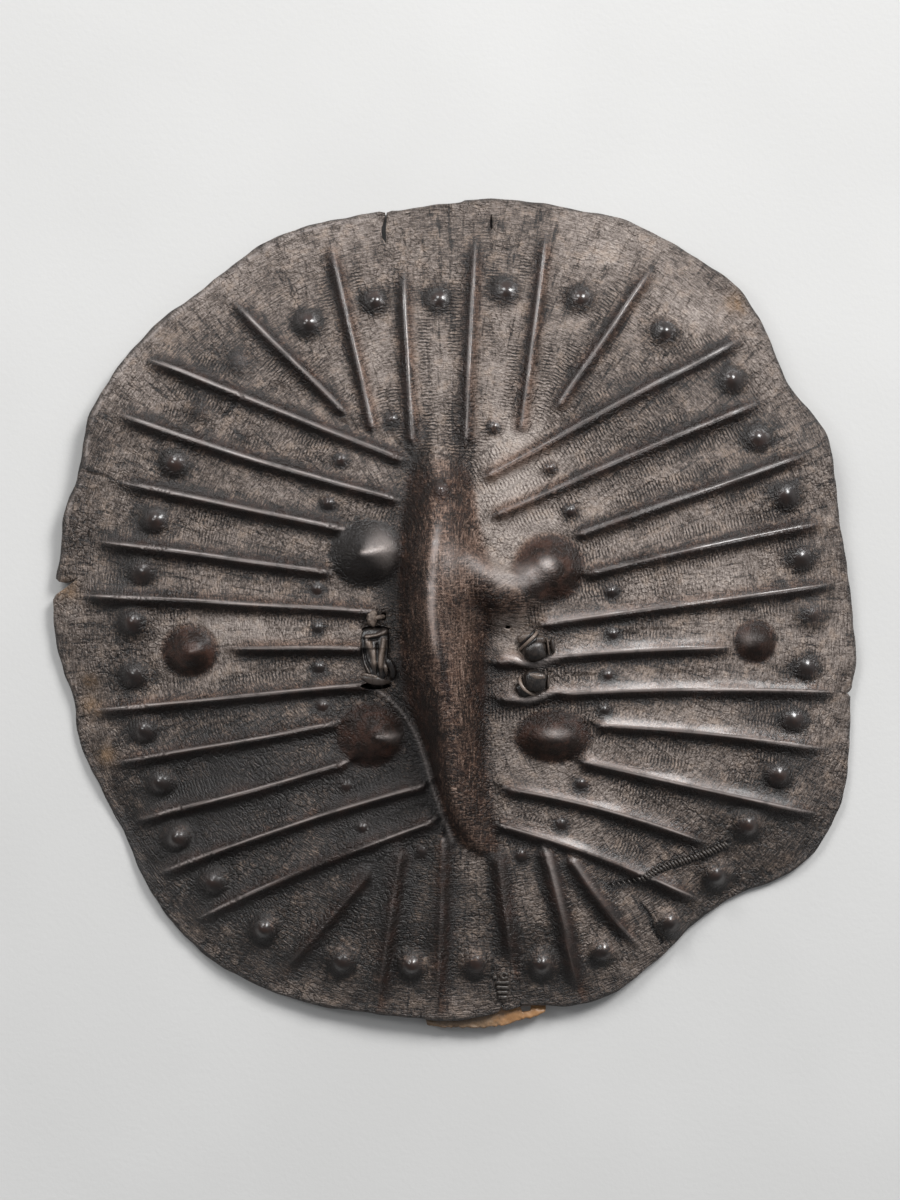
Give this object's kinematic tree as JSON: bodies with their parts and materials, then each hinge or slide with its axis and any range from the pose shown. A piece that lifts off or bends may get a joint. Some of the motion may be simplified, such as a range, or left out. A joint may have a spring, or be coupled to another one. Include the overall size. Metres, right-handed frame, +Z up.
{
  "type": "hide shield",
  "caption": "Round embossed hide shield with a hollow central keel, radiating ribs, bosses, a rawhide grip strap and old stitched repairs, lying face up on its rim.",
  "frame": {"origin": "on the ground under the middle of the shield's bounding box, as it lies on its rim", "axes": "+Z up out of the front face, +Y to the top of the shield along its keel, +X to the right as its front is looked at"},
  "size_m": [0.701, 0.7256, 0.1258],
  "materials": {
    "hide": "old thick hide, dusty grey-brown in the flats, polished dark brown on ribs and bosses",
    "strap": "handled rawhide strap, folded lengthwise, dark in its creases",
    "thong": "dry pale thong end",
    "thread": "black sinew thread, slightly waxy",
    "rawhide_patch": "raw orange-brown hide, dry, darker at its edge"
  },
  "bodies": {
    "root": {"hide_body": "hide", "grip_strap": "strap", "thong_knot": "thong", "tear_stitching": "thread", "rim_stitching": "thread", "rim_patch": "rawhide_patch"}
  },
  "joints": []
}
